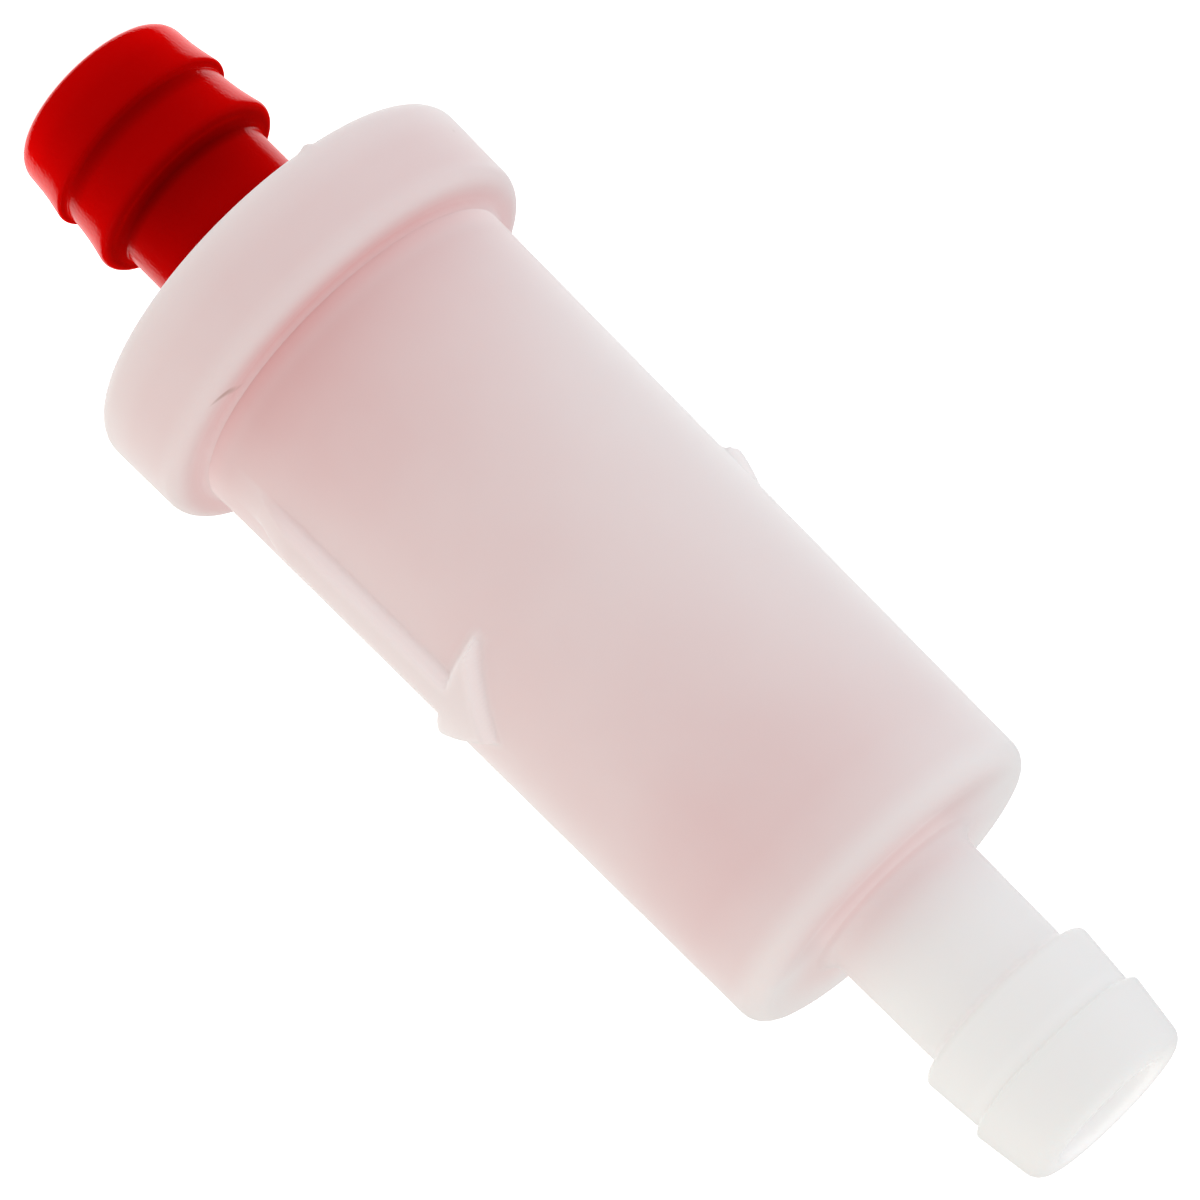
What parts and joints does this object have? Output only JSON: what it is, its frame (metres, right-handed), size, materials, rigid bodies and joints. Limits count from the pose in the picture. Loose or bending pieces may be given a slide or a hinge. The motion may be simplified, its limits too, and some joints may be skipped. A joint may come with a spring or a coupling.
{
  "type": "inline fuel filter",
  "caption": "Straight inline fuel filter: translucent moulded housing with flow arrows, red barbed inlet, barbed outlet and a mesh screen inside.",
  "frame": {"origin": "centre of the inlet nipple's end face, which the filter stands on", "axes": "+Z along the flow, from the red inlet to the outlet; +X through one of the two raised flow arrows, the other is at -X"},
  "size_m": [0.0216, 0.0216, 0.067],
  "materials": {
    "natural_nylon_housing": "translucent natural nylon, as moulded, satin",
    "natural_nylon_collar": "natural nylon, moulded over the joint, satin to matt",
    "red_nylon": "red nylon, as moulded, satin",
    "nylon_mesh": "woven monofilament nylon mesh"
  },
  "bodies": {
    "root": {"housing": "natural_nylon_housing", "collar": "natural_nylon_collar", "inlet_fitting": "red_nylon", "screen_cage": "red_nylon", "filter_screen": "nylon_mesh", "end_plug": "red_nylon"}
  },
  "joints": []
}
